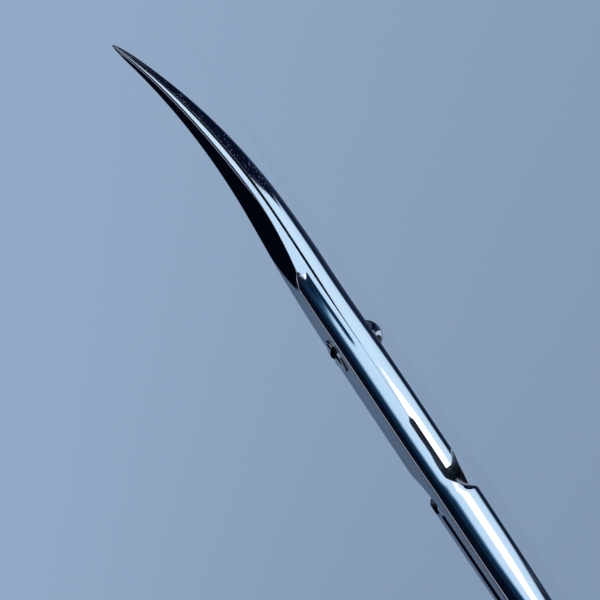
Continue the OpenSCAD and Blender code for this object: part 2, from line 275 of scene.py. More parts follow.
        # The cutting side: the wall up to the ground facet's edge, that edge, and the facet to its crest.
        share = min(1.0, max(0.0, (x - s["facet_end"]) / s["facet_run"])) ** 0.8
        cut, reach = upper0[-1][1], 0.0
        if x > s["facet_end"]:
            run_out = max(0.0, s["wheel_start"] - x) ** 2 / (2 * s["wheel_radius"])
            bevel = mix(s["bevel_tip_height"], s["bevel_height"], step_up(slim, 0.1, 0.75))
            bevel = min(bevel + run_out, (top - low0) * 0.85)
            cut = max(top - share**1.5 * (top - low0), low0 + bevel) - foot0
            soft = mix(0.1, 1.0, max(step_up(x, s["facet_soft"], s["facet_soft"] + 5), step_up(-x, -8.3, -7)))
            reach = min(s["facet_edge"] * soft, (top - foot0 - cut) * 0.4)
            cut += reach * 0.73
        wall = [(y0 + w, foot0 + h) for w, h in cut_off(upper0, cut - reach)]
        wall = [(mix(y, y0, self.flatness(x, z - low0)), z) for y, z in wall]
        crest = Vector((mix(y0 + upper0[-1][0] + CREST, back_rim - SLIVER, share), top))
        edge_y = cut_off(upper0, cut)[-1][0]
        edge = Vector((y0 + mix(edge_y, 0, self.flatness(x, cut)), foot0 + cut))
        start = Vector(wall[-1])
        run = crest - edge
        end = edge + run.normalized() * max(reach, run.length * 0.02)
        round_edge = [start.lerp(edge, t).lerp(edge.lerp(end, t), t) for t in EDGE_POINTS]
        facet = [end.lerp(crest, u) for u in FACET_POINTS]
        front = wall + [(p.x, p.y) for p in round_edge + facet]
        crossing = [(mix(back_rim, crest.x, u), top) for u in OUTER_POINTS]
        foot = [(y0 + w, foot0 - h) for w, h in lower0[1:]]
        return face + back + crossing + list(reversed(front)) + foot[:-1]

    def nose(self, u):
        """The plate's rear end is rounded like a nose: 1 at its outer rim, 0 near half its height."""
        return min(1.0, (u - 0.42) / 0.5) ** 1.35 if u > 0.42 else 0.0

    def waves(self, x):
        """Two shallow waves that the hand-held grinding left on the cutting side ahead of the pivot."""
        near = 0.26 * step_up(x, -0.9, 1.2)
        far = 0.25 * step_up(x, 1.5, 9.0)
        return lambda h: near * math.exp(-(((h - 0.42) / 0.1) ** 2)) + far * math.exp(-(((h - 0.72) / 0.16) ** 2))

    def flatness(self, x, h):
        """1 where the cutting side is a flat bevel, 0 where it is crowned. The change has one notch up the side."""
        notch = max(0.0, min((h - 0.3) / 0.57, (0.99 - h) / 0.12))
        middle = self.s["facet_end"] + 1.4 - 0.65 * notch
        return step_up(x, middle - 0.2, middle + 0.2)


def blend(first, second, u):
    return [mix(a, b, u) for a, b in zip(first, second)]


def flank(height, crown, waves=None):
    """A side's profile as (inset, height) pairs at even steps of its tilt."""
    foot, slope, knee, swell, turn = crown
    count = FLANK_SAMPLES
    inset, rows = 0.0, []
    for i in range(2 * count + 1):
        u = i / (2 * count)
        v = max(0.0, (u - knee) / (1 - knee))
        rim = max(0.0, (u - turn) / (1 - turn))
        sine = foot + slope * u + swell * v * v + (1 - foot - slope - swell) * rim
        if waves:
            sine += waves(u * height) * (1 - v)
        sine = max(-0.9, min(0.9995, sine))
        if i % 2:
            inset += sine / math.sqrt(1 - sine * sine) / count
        else:
            rows.append((u, math.asin(sine) + 0.02 * i, inset))
    # The tilt is made to grow steadily by a small share of height, so that flat stretches get points too.
    hold = 3
    profile, k = [(0.0, 0.0), (rows[hold][2], rows[hold][0])], 0
    turned = [0.0]
    for (_, t0, _), (_, t1, _) in zip(rows, rows[1:]):
        turned.append(turned[-1] + abs(t1 - t0))
    for i in range(1, FLANK_STEPS):
        goal = turned[-1] * i / FLANK_STEPS
        while k < count - 1 and turned[k + 1] < goal:
            k += 1
        t = (goal - turned[k]) / max(1e-9, turned[k + 1] - turned[k])
        profile.append((mix(rows[k][2], rows[k + 1][2], t), mix(rows[k][0], rows[k + 1][0], t)))
    profile.append((rows[-1][2], 1.0))
    return [(w * height, h * height) for w, h in profile]


def cut_off(profile, height, start=0.0):
    """The same number of points of a profile, but only from one height up to another."""
    total = profile[-1][1]
    found = []
    for i in range(len(profile)):
        goal = mix(start, height, profile[i][1] / total)
        k = next((k for k in range(1, len(profile) - 1) if profile[k][1] >= goal), len(profile) - 1)
        (w0, h0), (w1, h1) = profile[k - 1], profile[k]
        t = (goal - h0) / (h1 - h0)
        found.append((mix(w0, w1, t), goal - start))
    return found


# ---- mesh tools


def new_verts(found):
    return [g for g in found["geom"] if isinstance(g, bmesh.types.BMVert)]


def lofted(loops):
    """A bmesh skin: a circle laid on the first loop, extruded from loop to loop, with its ends closed."""
    bm = bmesh.new()
    ring = bmesh.ops.create_circle(bm, segments=len(loops[0]), radius=1)["verts"]
    for v, p in zip(ring, loops[0]):
        v.co = p
    edges = list(bm.edges)
    first = edges
    for loop in loops[1:]:
        found = bmesh.ops.extrude_edge_only(bm, edges=edges)
        fresh = set(new_verts(found))
        ring = [next(w for w in (e.other_vert(v) for e in v.link_edges) if w in fresh) for v in ring]
        for v, p in zip(ring, loop):
            v.co = p
        edges = [e for e in found["geom"] if isinstance(e, bmesh.types.BMEdge) and set(e.verts) <= fresh]
    for ends in (first, edges):
        bmesh.ops.contextual_create(bm, geom=ends)
    bmesh.ops.recalc_face_normals(bm, faces=bm.faces)
    return bm


def finish_mesh(bm, name, sharp_angle):
    """Turns a bmesh in millimetres round the pivot into an object in metres in the frame."""
    bmesh.ops.scale(bm, vec=(MM,) * 3, verts=bm.verts)
    bmesh.ops.translate(bm, vec=PIVOT, verts=bm.verts)
    for face in bm.faces:
        face.smooth = True
    for edge in bm.edges:
        edge.smooth = edge.calc_face_angle(0) < math.radians(sharp_angle)
    mesh = bpy.data.meshes.new(name)
    bm.to_mesh(mesh)
    bm.free()
    piece = bpy.data.objects.new(name, mesh)
    bpy.context.scene.collection.objects.link(piece)
    return piece


# ---- materials


def node(tree, kind, settings=None, **links):
    """Adds a node. Settings name its properties; links name its inputs, as sockets or values."""
    made = tree.nodes.new(kind)
    for key, value in (settings or {}).items():
        setattr(made, key, value)
    for key, value in links.items():
        key = int(key[1:]) if key[0] == "i" and key[1:].isdigit() else key.replace("_", " ")
        socket = made.inputs[key]
        if isinstance(value, bpy.types.NodeSocket):
            tree.links.new(value, socket)
        else:
            socket.default_value = value
    return made


def polished_stainless(name, colour, roughness, dust_from=None):
    """Forged stainless steel, buffed to a mirror with a mop: clear reflections, a haze of fine lines along it."""
    material = bpy.data.materials.new(name)
    material.use_nodes = True
    tree = material.node_tree
    shader = tree.nodes["Principled BSDF"]
    shader.inputs["Base Color"].default_value = linear(colour)
    shader.inputs["Metallic"].default_value = 1.0
    place = node(tree, "ShaderNodeTexCoord").outputs["Object"]
    # Buffing lines run along the scissors, about 0.08 mm apart and several millimetres long.
    along = node(tree, "ShaderNodeMapping", Vector=place, Scale=(150, 12000, 12000)).outputs["Vector"]
    lines = node(tree, "ShaderNodeTexNoise", Vector=along, Scale=1.0, Detail=3.0, Roughness=0.6).outputs["Fac"]
    haze = node(tree, "ShaderNodeTexNoise", Vector=place, Scale=400.0, Detail=2.0).outputs["Fac"]
    both = node(tree, "ShaderNodeMath", {"operation": "MULTIPLY"}, i0=lines, i1=haze).outputs[0]
    rough = node(
        tree,
        "ShaderNodeMapRange",
        Value=both,
        From_Min=0.1,
        From_Max=0.5,
        To_Min=roughness * 0.7,
        To_Max=roughness * 1.6,
    ).outputs["Result"]
    tree.links.new(rough, shader.inputs["Roughness"])
    bump = node(tree, "ShaderNodeBump", Strength=0.02, Distance=0.00002, Height=lines).outputs["Normal"]
    tree.links.new(bump, shader.inputs["Normal"])
    if dust_from is not None:
        # Specks of dust 0.04 mm wide lie on the blade from dust_from (metres along X) to its tip.
        grains = node(tree, "ShaderNodeTexVoronoi", Vector=place, Scale=6500.0).outputs
        tone = node(tree, "ShaderNodeSeparateColor", Color=grains["Color"]).outputs[0]
        cloud = node(tree, "ShaderNodeTexNoise", Vector=place, Scale=700.0, Detail=2.0).outputs["Fac"]
        size = node(tree, "ShaderNodeMath", {"operation": "MULTIPLY"}, i0=tone, i1=cloud).outputs[0]
        size = node(tree, "ShaderNodeMapRange", Value=size, From_Min=0.25, From_Max=0.6, To_Max=0.4).outputs["Result"]
        along = node(tree, "ShaderNodeSeparateXYZ", Vector=place).outputs["X"]
        start = node(
            tree, "ShaderNodeMapRange", Value=along, From_Min=dust_from, From_Max=dust_from + 0.002
        ).outputs["Result"]
        size = node(tree, "ShaderNodeMath", {"operation": "MULTIPLY"}, i0=size, i1=start).outputs[0]
        speck = node(
            tree, "ShaderNodeMath", {"operation": "LESS_THAN"}, i0=grains["Distance"], i1=size
        ).outputs[0]
        clean = node(tree, "ShaderNodeMath", {"operation": "SUBTRACT"}, i0=1.0, i1=speck).outputs[0]
        tree.links.new(clean, shader.inputs["Metallic"])
        dusty = node(
            tree, "ShaderNodeMix", {"data_type": "RGBA"}, i0=speck, i6=linear(colour), i7=linear("#8C96A8")
        ).outputs[2]
        tree.links.new(dusty, shader.inputs["Base Color"])
    return material


def ground_stainless(name, colour, roughness):
    """The riding faces, filed notches and driver slot: left as ground, filed or milled, with fine lines across. The
    notches and the slot are given darker colours that are painted shade.
    """
    material = bpy.data.materials.new(name)
    material.use_nodes = True
    tree = material.node_tree
    shader = tree.nodes["Principled BSDF"]
    shader.inputs["Base Color"].default_value = linear(colour)
    shader.inputs["Metallic"].default_value = 1.0
    shader.inputs["Roughness"].default_value = roughness
    place = node(tree, "ShaderNodeTexCoord").outputs["Object"]
    # Grinding lines lie across the blade, about 0.05 mm apart.
    across = node(tree, "ShaderNodeMapping", Vector=place, Scale=(20000, 600, 600)).outputs["Vector"]
    lines = node(tree, "ShaderNodeTexNoise", Vector=across, Scale=1.0, Detail=2.0).outputs["Fac"]
    bump = node(tree, "ShaderNodeBump", Strength=0.25, Distance=0.00002, Height=lines).outputs["Normal"]
    tree.links.new(bump, shader.inputs["Normal"])
    return material


# ---- settings in the sidebar


def number(name, about, default):
    return bpy.props.FloatProperty(name=name, description=about, default=default, unit="NONE", min=0)


def mm(name, about, default):
    return number(name, about + ", mm", default)


def hex_colour(name, about, default):
    return bpy.props.StringProperty(name=name, description=about + ", sRGB hex", default=default)


class ScissorSizes(bpy.types.PropertyGroup):
    """The halves' sizes in millimetres, as in the CAD model that they dress."""

    blade_reach: mm("Blade reach", "Distance from the pivot to the tip", 31.9)
    bow_radius: mm("Bow radius", "Radius of the upward bow of the blades", 53)
    bow_start: mm("Bow start", "Distance from the pivot at which the bow starts", 14)
    ride_dip: mm("Ride dip", "How far the riding surface dips before the bow", 0.19)
    tip_thick: mm("Tip thickness", "Thickness of a blade just behind its tip", 0.25)
    tip_half_width: mm("Tip half width", "Half width of the closed blades at the tip", 0.14)
    tip_round: mm("Tip rounding", "Length over which the tip is rounded off", 1.8)
    plan_fullness: number("Plan fullness", "Curve of the blade's plan, 1 is straight", 1.35)
    taper_start: mm("Taper start", "Distance from the pivot at which the blades get thinner", 8)
    thick_fullness: number("Thickness fullness", "Curve of the blade's thickness, 1 is straight", 1.33)
    bevel_height: mm("Bevel height", "Height of the cutting bevel at the hinge", 0.4)
    bevel_tip_height: mm("Bevel height at the tip", "Height of the cutting bevel at the tip", 0.03)
    wheel_radius: mm("Wheel radius", "Radius of the wheel that runs the facet out", 45)
    wheel_start: mm("Wheel start", "Where the wheel starts to leave the bevel", 15.4)
    facet_end: mm("Facet end", "Where the facet ends on the cutting side", 6.2)
    facet_run: mm("Facet run", "Length over which the facet crosses the outer face", 3.4)
    facet_edge: mm("Facet edge", "Rounding between the bevel and the facet at the tip", 0.2)
    facet_soft: mm("Facet soft", "Where that edge starts to get softer", 12.5)
    plate_half_width: mm("Plate half width", "Half width of the hinge plate", 3.95)
    lower_thick: mm("Lower thickness", "Thickness of the lower half at the pivot", 1.55)
    upper_thick: mm("Upper thickness", "Thickness of the upper half at the pivot", 1.76)
    ride_flat: mm("Ride flat", "Radius of the flat riding face", 3)
    ride_clearance: mm("Ride clearance", "Gap between the halves at the hinge", 0.014)
    blade_gap: mm("Blade gap", "Gap between the hollow blades midway", 0.16)
    hollow_close: mm("Hollow close", "Length over which the hollow closes", 11)
    ride_end: mm("Ride end", "Distance behind the pivot at which the riding face ends", 8.2)
    upper_relief: mm("Upper relief", "Depth of the relief behind the upper riding face", 0.25)
    lower_relief: mm("Lower relief", "Depth of the relief behind the lower riding face", 0.18)
    relief_deeper: mm("Relief deeper", "How much deeper the relief gets by the shoulder", 0.14)
    relief_length: mm("Relief length", "Length of the step down into the relief", 0.5)
    ride_edge: mm("Ride edge", "Rounding of the edges of the riding faces", 0.035)
    nose_start: mm("Nose start", "Distance behind the pivot at which the plate's outer rim turns in", 11.85)
    nose_end: mm("Nose end", "Distance behind the pivot at which that rim meets the shank", 14.9)
    plate_end: mm("Plate end", "Distance behind the pivot at which the plate's middle height turns in", 12.75)
    crotch_start: mm("Crotch start", "Distance behind the pivot at which the shank starts", 12.3)
    crotch_length: mm("Crotch length", "Length over which the plate turns into the shank", 1.9)
    crotch_corner: number("Crotch corner", "Rounding of its corner, as a share of that length", 0.12)
    crotch_lead: mm("Crotch lead", "How much earlier the cutting side starts to turn", 3.7)
    shoulder_delay: mm("Shoulder delay", "From the crotch to the start of the shoulder", 0.65)
    shoulder_length: mm("Shoulder length", "Length of the step to full thickness", 2.5)
    lower_earlier: mm("Lower earlier", "How much earlier the lower half's shoulder starts", 0.4)
    inner_ease: mm("Inner ease", "Height filed off the inner edge of the lower half's shank", 0.2)
    ease_width: mm("Ease width", "Width over which it is filed", 0.9)
    start_ease: mm("Start ease", "Height filed off that edge where the shank starts", 0.55)
    start_ease_width: mm("Start ease width", "Width over which it is filed there", 2.6)
    ease_lag: mm("Ease lag", "From the lower half's shoulder to the start of the filed edge", 0.7)
    ease_run: mm("Ease run", "Length of its deeper start", 1.4)
    ease_fade: mm("Ease fade", "Length of the change after that", 1.5)
    shoulder_lag: mm("Shoulder lag", "How much later the step starts on the inner side", 1.2)
    shank_gap: mm("Shank gap", "Gap between the closed shanks", 0.6)
    shank_width: mm("Shank width", "Width of a shank behind the shoulder", 4.2)
    shank_end_width: mm("Shank end width", "Width of a shank at its ring", 3.1)
    round_start: mm("Round start", "Distance behind the pivot from which the shanks get rounder", 20)
    shank_bow: mm("Shank bow", "How far the shanks bow outwards", 1.8)
    shank_let_down: mm("Shank let-down", "How much lower a shank's faces are than the plate's", 0.15)
    shank_end_let_down: mm("Shank end let-down", "How much lower they are inside the ring's bar", 0.25)
    shank_short: mm("Shank short", "How far short of the ring's middle the shank ends", 2.5)
    ring_reach: mm("Ring reach", "Distance from the pivot to the middle of a ring", 62.5)
    ring_length: mm("Ring length", "Length of the ring's opening", 24.4)
    ring_width: mm("Ring width", "Width of the ring's opening", 20)
    ring_end_radius: mm("Ring end radius", "Radius of the round ends of the opening", 8.5)
    ring_bar: mm("Ring bar", "Diameter of the ring's bar", 3.4)
    ring_gap: mm("Ring gap", "Gap between the closed rings", 0.6)
    web_swell: mm("Web swell", "How far the shank swells to meet its ring", 2.3)
    web_length: mm("Web length", "Length of the swell", 12)
    web_reach: mm("Web reach", "From the middle of the swell to the ring's middle", 11)


class ScrewSizes(bpy.types.PropertyGroup):
    """The pivot screw's sizes in millimetres."""

    head_d: mm("Head diameter", "Diameter of the slotted head", 3.15)
    head_rim: mm("Head rim", "Height of the head's rim above the upper half", 0.15)
    head_edge: mm("Head edge", "Rounding of the head's rim", 0.1)
    head_sink: mm("Head sink", "Depth to which the head is let in", 0.4)
    head_crown: mm("Head crown", "Height of the head's crown above its rim", 0.28)
    slot_width: mm("Slot width", "Width of the driver slot", 0.75)
    slot_depth: mm("Slot depth", "Depth of the driver slot below the rim", 0.25)
    slot_turn: bpy.props.FloatProperty(
        name="Slot turn",
        description="Direction of the driver slot from the X axis",
        default=math.radians(112),
        unit="ROTATION",
    )
    shaft_d: mm("Shaft diameter", "Diameter of the shaft", 2.2)
    dome_d: mm("Dome diameter", "Diameter of the domed end", 2.7)
    dome_height: mm("Dome height", "Height of the domed end", 1)


class Finish(bpy.types.PropertyGroup):
    """Colours and polish."""

    steel: hex_colour("Steel", "Colour of the polished steel", "#CDD2D6")
    ground: hex_colour("Ground", "Colour of the ground riding faces", "#8A8580")
    # The notches' darker colour is painted shade of the crotch; their filed finish is the rougher surface.
    notch: hex_colour("Notch", "Colour of the filed notches", "#6A727A")
    # The slot's dark colour is painted shade: it darkens the recess where shade falls.
    slot: hex_colour("Slot", "Colour of the oily driver slot", "#2E2A2A")
    roughness: number("Roughness", "Roughness of the mirror polish", 0.035)
    flat_roughness: number("Flat faces", "Roughness of the flat faces", 0.15)
    floor: hex_colour("Floor", "Colour of the floor", "#94ABC7")
    floor_dark: hex_colour("Floor, dark end", "Colour of its end behind the shanks", "#8096B0")


def sizes_of(group):
    return {key: getattr(group, key) for key in group.__annotations__}


# ---- operators


NOTCH_ROOM = 0.3  # the filed finish and its painted shade reach this far beyond the notch, in mm
RING_SEAM = 0.01  # points of the ring's two ends that are this close, in mm, are one point


class SCISSORS_OT_halves(bpy.types.Operator):
    """Builds the two forged halves and their finger rings"""

    bl_idname = "scissors.halves"
    bl_label = "Forged halves"

    def execute(self, context):
        sizes = sizes_of(context.scene.scissor_sizes)
        finish = context.scene.scissor_finish
        steel = polished_stainless("polished stainless steel", finish.steel, finish.roughness)
        dusty = polished_stainless(
            "polished stainless steel with dust", finish.steel, finish.roughness, PIVOT.x + 13.5 * MM
        )
        ground = ground_stainless("ground stainless steel", finish.ground, 0.25)
        flat = polished_stainless("belt-finished stainless steel", finish.steel, finish.flat_roughness)
        notch = ground_stainless("filed stainless steel", finish.notch, 0.32)
        bodies = {UPPER: ("upper_half", "upper_scissor_half"), LOWER: ("lower_half", "lower_scissor_half")}
        for half, (cad_node, body) in bodies.items():
            form = Form(half, sizes)
            loops = [
                [Vector((x, half * y, half * z)) for y, z in form.section(x)] for x in self.places(form, sizes)
            ]
            bm = lofted(loops)
            for face in bm.faces:
                face.material_index = self.material_of(face, form, sizes)
            self.add_ring(bm, half, sizes)
            piece = finish_mesh(bm, "forged_" + cad_node, 40)
            for material in (steel if half == UPPER else dusty, ground, flat, notch):
                piece.data.materials.append(material)
            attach(piece, body)
            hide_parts(cad_node)
        return {"FINISHED"}

    def material_of(self, face, form, s):
        """0 polished, 1 ground riding face, 2 belt-finished outer face, 3 filed notch behind the plate, darkened with
        painted shade.
        """
        middle, up, back = face.calc_center_median(), face.normal.z * form.half, face.normal.y * form.half
        if -s["nose_end"] - NOTCH_ROOM < middle.x < -s["nose_start"] + NOTCH_ROOM:
            turned_in = back > 0.3 and middle.y * form.half < s["plate_half_width"] - 1
            inside = middle.x < -form.shoulder_start and up < -0.5 and middle.z * form.half < 0.7
            if face.normal.x < -0.12 or turned_in or inside:
                return 3
        if middle.x > -form.web_start and up > 0.99:
            return 2
        return 1 if middle.x > -form.shoulder_start and up < -0.95 else 0

    def places(self, form, s):
        """Distances from the pivot at which sections are taken, closer together where the form changes quickly."""
        shoulder_end = form.shoulder_start + s["shoulder_lag"] + s["shoulder_length"]
        marks = [
            (s["blade_reach"], 10),
            (s["blade_reach"] - s["tip_round"], 60),
            (s["facet_end"] + s["facet_run"], 40),
            (s["facet_end"], 30),
            (-s["ride_end"] + 3, 30),
            (-s["crotch_start"] + 0.6, 80),
            (-shoulder_end, 40),
            (-form.web_start, 40),
            (-form.shank_end, 0),
        ]
        found = []
        for (a, count), (b, _) in zip(marks, marks[1:]):
            found += between(a, b, count)
        return found + [marks[-1][0]]

    def add_ring(self, bm, half, s):
        """The oval ring: a round bar spun about the centres of two end arcs and two flatter side arcs."""
        bar = s["ring_bar"] / 2
        long, wide, end = s["ring_length"] / 2 + bar, s["ring_width"] / 2 + bar, s["ring_end_radius"] + bar
        shift = long - end
        rise = wide - end
        drop = (shift**2 - rise**2) / (2 * rise)
        spread = math.atan2(drop, shift)
        centre = Vector(
            (-s["ring_reach"], -half * (s["ring_gap"] / 2 + bar + wide), (s["upper_thick"] - s["lower_thick"]) / 2)
        )
        made = bmesh.ops.create_circle(bm, segments=32, radius=bar)["verts"]
        bmesh.ops.rotate(bm, verts=made, matrix=Matrix.Rotation(math.pi / 2, 3, "X"))
        bmesh.ops.translate(bm, verts=made, vec=(end, 0, 0))
        bmesh.ops.rotate(bm, verts=made, matrix=Matrix.Rotation(-spread, 3, "Z"))
        bmesh.ops.translate(bm, verts=made, vec=(shift, 0, 0))
        bmesh.ops.translate(bm, verts=made, vec=centre)
        rim = set(made)
        profile = made + [e for e in bm.edges if rim.issuperset(e.verts)]
        arcs = [
            (Vector((shift, 0, 0)), 2 * spread),
            (Vector((0, -drop, 0)), math.pi - 2 * spread),
            (Vector((-shift, 0, 0)), 2 * spread),
            (Vector((0, drop, 0)), math.pi - 2 * spread),
        ]
        for middle, turn in arcs:
            out = bmesh.ops.spin(
                bm, geom=profile, cent=centre + middle, axis=(0, 0, 1), angle=turn, steps=30, use_duplicate=False
            )
            profile = out["geom_last"]
        # The last arc ends where the first began, to within rounding, and is sewn to it there.
        ends = made + [v for v in profile if isinstance(v, bmesh.types.BMVert)]
        bmesh.ops.remove_doubles(bm, verts=ends, dist=RING_SEAM)
        bmesh.ops.remove_doubles(bm, verts=bm.verts, dist=1e-4)
        bmesh.ops.recalc_face_normals(bm, faces=bm.faces)


SEAT = 0.001  # the dome's flat side lies this far inside the lower half, in mm
RIM_TURNS = (0, 12, 24, 36, 48, 60, 70)
CAP_STEPS = 14


class SCISSORS_OT_screw(bpy.types.Operator):
    """Builds the pivot screw with its slotted head and domed end"""

    bl_idname = "scissors.screw"
    bl_label = "Pivot screw"

    def execute(self, context):
        s = sizes_of(context.scene.scissor_screw)
        half = sizes_of(context.scene.scissor_sizes)
        finish = context.scene.scissor_finish
        steel = polished_stainless("turned and polished stainless steel", finish.steel, finish.roughness * 1.4)
        top, low = half["upper_thick"], -half["lower_thick"]
        bm = bmesh.new()
        rows = self.cap(s["dome_d"], s["dome_height"], low, -1)
        rows += [(s["dome_d"] / 2, low + SEAT), (s["shaft_d"] / 2, low + SEAT)]
        rows += [(s["shaft_d"] / 2, top - s["head_sink"]), (s["head_d"] / 2, top - s["head_sink"])]
        rim = top + s["head_rim"]
        edge = s["head_edge"]
        turns = [math.radians(a) for a in RIM_TURNS]
        rows += [(s["head_d"] / 2 - edge * (1 - math.cos(a)), rim - edge * (1 - math.sin(a))) for a in turns]
        rows += reversed(self.cap(s["head_d"] - 2 * edge, s["head_crown"], rim, 1))
        verts = [bm.verts.new((r, 0, z)) for r, z in rows]
        edges = [bm.edges.new(pair) for pair in zip(verts, verts[1:])]
        bmesh.ops.spin(
            bm, geom=verts + edges, cent=(0, 0, 0), axis=(0, 0, 1), angle=2 * math.pi, steps=72, use_merge=True
        )
        bmesh.ops.remove_doubles(bm, verts=bm.verts, dist=1e-5)
        self.cut_slot(bm, s, rim - s["slot_depth"])
        bmesh.ops.rotate(bm, verts=bm.verts, matrix=Matrix.Rotation(s["slot_turn"], 3, "Z"))
        bmesh.ops.recalc_face_normals(bm, faces=bm.faces)
        piece = finish_mesh(bm, "slotted_pivot_screw", 35)
        piece.data.materials.append(steel)
        # The slot's milled finish gets a dark colour that is painted shade in the recess.
        piece.data.materials.append(ground_stainless("milled stainless steel", finish.slot, 0.5))
        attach(piece, "lower_scissor_half")
        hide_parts("pivot_screw")
        return {"FINISHED"}

    def cap(self, d, h, base, way):
        """Points of a ball cap from its middle out to its rim."""
        ball = ((d / 2) ** 2 + h * h) / (2 * h)
        spread = math.asin(d / 2 / ball) if h < ball else math.pi - math.asin(d / 2 / ball)
        angles = [spread * i / CAP_STEPS for i in range(CAP_STEPS + 1)]
        return [(ball * math.sin(a), base + way * (h - ball + ball * math.cos(a))) for a in angles]

    def cut_slot(self, bm, s, floor):
        """Cuts the driver slot along X: two walls and a floor."""
        side = s["slot_width"] / 2
        cuts = [((0, side, 0), (0, 1, 0)), ((0, -side, 0), (0, 1, 0)), ((0, 0, floor), (0, 0, 1))]
        for spot, normal in cuts:
            bmesh.ops.bisect_plane(
                bm, geom=list(bm.verts) + list(bm.edges) + list(bm.faces), dist=1e-6, plane_co=spot, plane_no=normal
            )
        gone = [
            f for f in bm.faces
            if abs(f.calc_center_median().y) < side and f.calc_center_median().z > floor
        ]
        bmesh.ops.delete(bm, geom=gone, context="FACES")
        near = 1e-4
        walls = [
            [v for v in bm.verts if abs(v.co.y - way * side) < near and v.co.z > floor - near and v.is_boundary]
            for way in (1, -1)
        ]
        bottom = [v for v in bm.verts if abs(v.co.z - floor) < near and abs(v.co.y) < side + near]
        # The slot's walls and floor get the dark colour that stands for the shade in it.
        for rim in (*walls, bottom):
            for face in bmesh.ops.contextual_create(bm, geom=rim)["faces"]:
                face.material_index = 1


class SCISSORS_OT_studio(bpy.types.Operator):
    """Sets up the floor, the soft lights and the camera"""

    bl_idname = "scissors.studio"
    bl_label = "Studio"

    def execute(self, context):
        self.camera(context)
        self.floor(context)
        self.lamp(context)
        # The walls behind the pivot mirror the white card, and the screw's head the grey one: glowing cards that the
        # camera never sees and that light nothing, so both are painted reflections.
        white = [(-7.6, -20), (-14.5, -11), (-70, -10.5), (-70, -30.5), (-14.5, -29.5)]
        self.card("white_card", "#FFFFFF", 2.6, 100, white)
        self.card("grey_card", "#56677E", WORLD_STRENGTH, 40, [(-10, 140), (4, 140), (4, 166), (-10, 166)])
        self.surroundings(context)
        context.scene.view_settings.view_transform = "Standard"
        context.scene.view_settings.look = "None"
        return {"FINISHED"}

    def camera(self, context):
        """A long lens near the floor, square to the scissors, rolled so that the blades point to the upper left."""
        down, turn, distance = math.radians(6.5), math.radians(2.5), 0.6
        spin = Matrix.Rotation(turn, 3, "Z")
        along = spin @ Vector((1, 0, 0))
        rise = spin @ Vector((0, math.sin(down), math.cos(down)))
        back = spin @ Vector((0, -math.cos(down), math.sin(down)))
        right = -0.5593 * along - 0.8290 * rise
        up = 0.8290 * along - 0.5593 * rise
        anchor = PIVOT + Vector((0, 0, 0.19 * MM))
        centre = anchor - 4.375 * MM * right + 3.81 * MM * up
        data = bpy.data.cameras.new("long_lens")
        camera = bpy.data.objects.new("long_lens", data)
        turned = Matrix((right, up, back)).transposed().to_4x4()
        turned.translation = centre + back * distance
        camera.matrix_world = turned
        data.sensor_width = 36
        data.lens = 36 * distance / (50 * MM)
        data.clip_start, data.clip_end = 0.01, 50
        context.scene.collection.objects.link(camera)
        context.scene.camera = camera

    def floor(self, context):
        """A sheet of acrylic that glows by emission, with no lamp: painted light that keeps shadows on it faint."""
        bm = bmesh.new()
        bmesh.ops.create_circle(bm, cap_ends=True, segments=96, radius=6)
        mesh = bpy.data.meshes.new("floor")
        bm.to_mesh(mesh)
        bm.free()
        floor = bpy.data.objects.new("floor", mesh)
        context.scene.collection.objects.link(floor)
        material = bpy.data.materials.new("frosted acrylic, lit from below")
        material.use_nodes = True
        tree = material.node_tree
        shader = tree.nodes["Principled BSDF"]
        finish = context.scene.scissor_finish
        place = node(tree, "ShaderNodeTexCoord").outputs["Object"]
        # Its painted glow gets lighter towards the tips (13 a metre) and away from the camera (1.67 a metre).
        share = node(
            tree, "ShaderNodeVectorMath", {"operation": "DOT_PRODUCT"}, i0=place, i1=(13.0, 1.67, 0.0)
        ).outputs["Value"]
        share = node(tree, "ShaderNodeMapRange", {"interpolation_type": "SMOOTHSTEP"}, Value=share, From_Min=-0.25)
        colour = node(
            tree,
            "ShaderNodeMix",
            {"data_type": "RGBA"},
            i0=share.outputs["Result"],
            i6=linear(finish.floor_dark),
            i7=linear(finish.floor),
        ).outputs[2]
        tree.links.new(colour, shader.inputs["Emission Color"])
        shader.inputs["Base Color"].default_value = [c * 0.06 for c in linear(finish.floor)[:3]] + [1]
        shader.inputs["Roughness"].default_value = 0.9
        shader.inputs["Specular IOR Level"].default_value = 0.0
        shader.inputs["Emission Strength"].default_value = 0.96
        mesh.materials.append(material)
        floor.visible_glossy = False
        floor.visible_shadow = False

    def lamp(self, context):
        data = bpy.data.lights.new("softbox", "AREA")
        data.shape, data.size, data.energy = "DISK", 1.2, 6.0
        lamp = bpy.data.objects.new("softbox", data)
        lamp.location = (0.1, 0.2, 1.0)
        lamp.rotation_euler = (0, 0, 0)
        lamp.visible_glossy = False
        context.scene.collection.objects.link(lamp)

    def card(self, name, colour, strength, away, corners):
        """A glowing card so many mm away, with its corners at (x in mm from the pivot, angle round the X axis). It is
        no lamp: only reflections see it, so it is a painted reflection.
        """
        bm = bmesh.new()
        turns = [(x, math.radians(a)) for x, a in corners]
        rim = [bm.verts.new((x, -away * math.cos(a), away * math.sin(a))) for x, a in turns]
        bmesh.ops.contextual_create(bm, geom=rim)
        bmesh.ops.scale(bm, vec=(MM,) * 3, verts=bm.verts)
        bmesh.ops.translate(bm, vec=PIVOT, verts=bm.verts)
        mesh = bpy.data.meshes.new(name)
        bm.to_mesh(mesh)
        bm.free()
        card = bpy.data.objects.new(name, mesh)
        bpy.context.scene.collection.objects.link(card)
        material = bpy.data.materials.new(name + ", brightly lit")
        material.use_nodes = True
        shader = material.node_tree.nodes["Principled BSDF"]
        shader.inputs["Base Color"].default_value = (0, 0, 0, 1)
        shader.inputs["Specular IOR Level"].default_value = 0.0
        shader.inputs["Emission Color"].default_value = linear(colour)
        shader.inputs["Emission Strength"].default_value = strength
        mesh.materials.append(material)
        card.visible_camera = False
        card.visible_diffuse = False
        card.visible_shadow = False

